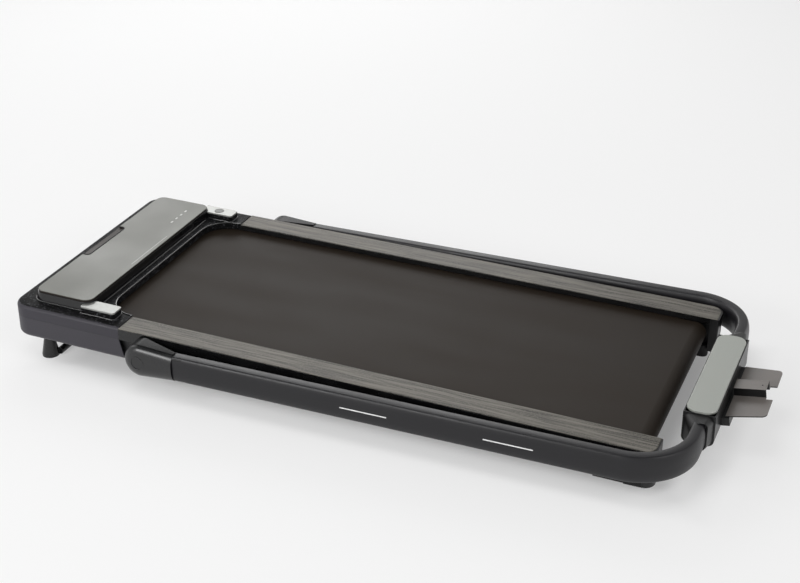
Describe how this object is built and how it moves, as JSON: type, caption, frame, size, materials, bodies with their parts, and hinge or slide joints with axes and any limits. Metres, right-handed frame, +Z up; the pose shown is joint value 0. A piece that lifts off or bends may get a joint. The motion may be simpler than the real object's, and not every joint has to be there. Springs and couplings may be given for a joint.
{
  "type": "walking pad",
  "caption": "Low motorised walking pad with a flat running belt, side foot rails, a motor hood with a grey panel, and a U-shaped handlebar with a console that folds flat round the deck.",
  "frame": {"origin": "on the floor under the middle of the folded object", "axes": "+X from the motor hood to the console, +Y to the side with the power button, +Z up"},
  "size_m": [1.4241, 0.6296, 0.1344],
  "materials": {
    "hood_plastic": "grained black moulding",
    "bezel_plastic": "smooth black moulding",
    "housing_plastic": "satin blue-grey moulding",
    "panel_grey": "satin dark grey panel",
    "cap_silver": "silver grey lacquer",
    "indicator_white": "milky light windows",
    "board_green": "printed circuit board",
    "rail_black": "fine grained black moulding",
    "strip_brushed": "dark brushed, grain along the rail",
    "belt_rubber": "fine woven texture",
    "deck_wood": "coated board",
    "cushion_rubber": "moulded rubber",
    "frame_steel": "black powder coat",
    "bare_steel": "turned steel",
    "screw_steel": "blackened steel",
    "motor_metal": "painted steel can",
    "pulley_metal": "cast and turned",
    "drive_belt_rubber": "ribbed drive belt",
    "controller_aluminium": "finned extrusion",
    "port_plastic": "smooth black",
    "rocker_plastic": "polished black",
    "foot_rubber": "moulded rubber",
    "wheel_rubber": "hard rubber tyre",
    "bush_polymer": "bearing polymer",
    "tube_black": "satin black powder coat",
    "cover_plastic": "satin black moulding",
    "console_plate_grey": "satin grey plate",
    "console_plastic": "satin black moulding",
    "display_black": "smoked display window",
    "key_rubber": "soft keys",
    "holder_steel": "dark grey coated sheet"
  },
  "bodies": {
    "base": {"frame_side_members": "frame_steel", "frame_cross_members": "frame_steel", "running_deck": "deck_wood", "deck_cushions": "cushion_rubber", "running_belt": "belt_rubber", "roller_axles": "bare_steel", "belt_tension_screws": "screw_steel", "foot_rail_left": "rail_black", "foot_rail_right": "rail_black", "foot_rail_strips": "strip_brushed", "rear_end_cap_left": "rail_black", "rear_end_cap_right": "rail_black", "motor_housing": "housing_plastic", "hood_cover": "hood_plastic", "hood_screws": "screw_steel", "display_bezel": "bezel_plastic", "display_panel": "panel_grey", "indicator_lenses": "indicator_white", "indicator_board": "board_green", "shoulder_cap_left": "cap_silver", "shoulder_cap_right": "cap_silver", "drive_motor": "motor_metal", "drive_belt": "drive_belt_rubber", "motor_mount": "frame_steel", "motor_controller": "controller_aluminium", "power_inlet": "port_plastic", "power_switch_frame": "port_plastic", "wheel_brackets": "frame_steel", "front_feet": "foot_rubber", "rear_feet": "foot_rubber", "hinge_brackets": "frame_steel", "pivot_pins": "bare_steel", "handlebar_rests": "frame_steel"},
    "handlebar": {"handlebar_post_left": "tube_black", "handlebar_post_right": "tube_black", "hinge_blocks": "frame_steel", "pivot_bushes": "bush_polymer", "pivot_cover_left": "cover_plastic", "pivot_cover_right": "cover_plastic", "console_housing": "console_plastic", "console_back_plate": "console_plate_grey", "console_crossbar": "frame_steel", "console_collars": "console_plastic", "console_display": "display_black", "console_screws": "screw_steel", "phone_holder": "holder_steel", "phone_holder_bracket": "console_plastic"},
    "drive_roller": {"drive_roller": "bare_steel", "drive_roller_bearings": "bare_steel", "drive_roller_pulley": "pulley_metal"},
    "rear_roller": {"rear_roller": "bare_steel", "rear_roller_bearings": "bare_steel"},
    "motor_rotor": {"motor_rotor": "pulley_metal"},
    "left_wheel": {"transport_wheel_left": "wheel_rubber"},
    "right_wheel": {"transport_wheel_right": "wheel_rubber"},
    "power_button": {"power_button": "cap_silver"},
    "power_switch_rocker": {"power_switch_rocker": "rocker_plastic"},
    "console_button_minus": {"console_button_minus": "key_rubber"},
    "console_button_start": {"console_button_start": "key_rubber"},
    "console_button_plus": {"console_button_plus": "key_rubber"}
  },
  "joints": [
    {"name": "handlebar_fold", "type": "hinge", "parent": "base", "child": "handlebar", "pos_m": [-0.40208, 0, 0.07153], "axis": [0, -1, 0], "range_deg": [0, 90]},
    {"name": "drive_roller_spin", "type": "hinge", "parent": "base", "child": "drive_roller", "pos_m": [-0.55907, 0, 0.07404], "axis": [0, 1, 0], "continuous": true},
    {"name": "rear_roller_spin", "type": "hinge", "parent": "base", "child": "rear_roller", "pos_m": [0.52174, 0, 0.05329], "axis": [0, 1, 0], "continuous": true},
    {"name": "motor_spin", "type": "hinge", "parent": "base", "child": "motor_rotor", "pos_m": [-0.6494, 0, 0.08348], "axis": [0, 1, 0], "continuous": true},
    {"name": "left_wheel_spin", "type": "hinge", "parent": "base", "child": "left_wheel", "pos_m": [-0.67859, -0.15, 0.022], "axis": [0, 1, 0], "continuous": true},
    {"name": "right_wheel_spin", "type": "hinge", "parent": "base", "child": "right_wheel", "pos_m": [-0.67859, 0.15, 0.022], "axis": [0, 1, 0], "continuous": true},
    {"name": "power_button_press", "type": "slide", "parent": "base", "child": "power_button", "axis": [-0.0192, 0, -0.9998], "range_m": [0, 0.0015], "stiffness_N_per_m": 800},
    {"name": "power_switch_rock", "type": "hinge", "parent": "base", "child": "power_switch_rocker", "pos_m": [-0.70563, 0.155, 0.07205], "axis": [0, 1, 0], "range_deg": [0, 16]},
    {"name": "console_button_minus_press", "type": "slide", "parent": "handlebar", "child": "console_button_minus", "axis": [0, 0, 1], "range_m": [0, 0.0012], "stiffness_N_per_m": 600},
    {"name": "console_button_start_press", "type": "slide", "parent": "handlebar", "child": "console_button_start", "axis": [0, 0, 1], "range_m": [0, 0.0012], "stiffness_N_per_m": 600},
    {"name": "console_button_plus_press", "type": "slide", "parent": "handlebar", "child": "console_button_plus", "axis": [0, 0, 1], "range_m": [0, 0.0012], "stiffness_N_per_m": 600}
  ],
  "couplings": [
    {"joint": "rear_roller_spin", "follows": "drive_roller_spin", "ratio": 1},
    {"joint": "motor_spin", "follows": "drive_roller_spin", "ratio": 2.1818}
  ]
}
